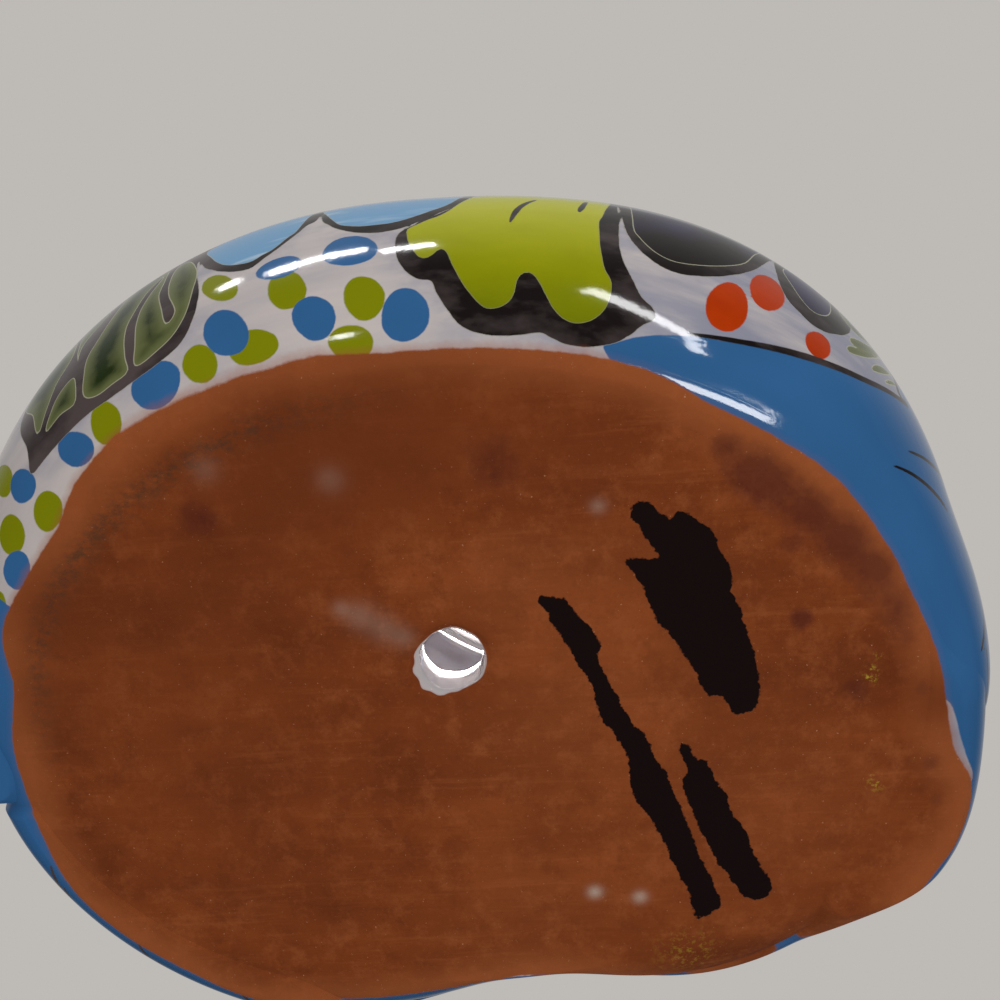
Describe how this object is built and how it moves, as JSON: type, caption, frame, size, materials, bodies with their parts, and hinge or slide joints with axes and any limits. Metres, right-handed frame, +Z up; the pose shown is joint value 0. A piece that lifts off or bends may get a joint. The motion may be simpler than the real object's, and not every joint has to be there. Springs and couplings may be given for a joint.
{
  "type": "cat planter",
  "caption": "Hollow glazed earthenware plant pot shaped as a crouching cat, with an open planting mouth in its back and a drain hole in its flat unglazed base.",
  "frame": {"origin": "middle of the flat base, on the resting plane and on the cat's mid-plane", "axes": "+Z up, -Y the way the cat faces, +X its left flank"},
  "size_m": [0.2122, 0.2808, 0.1961],
  "materials": {
    "terracotta": "bare fired clay, matte",
    "white_glaze": "clear gloss over hand painting",
    "blue_glaze": "clear gloss over hand painting"
  },
  "bodies": {
    "root": {"base_slab": "terracotta", "body_wall": "white_glaze", "planting_rim": "blue_glaze", "head": "blue_glaze", "muzzle": "white_glaze", "left_ear": "blue_glaze", "right_ear": "blue_glaze", "left_front_leg": "blue_glaze", "right_front_leg": "blue_glaze", "left_hind_leg": "blue_glaze", "right_haunch": "blue_glaze", "tail": "blue_glaze"}
  },
  "joints": []
}
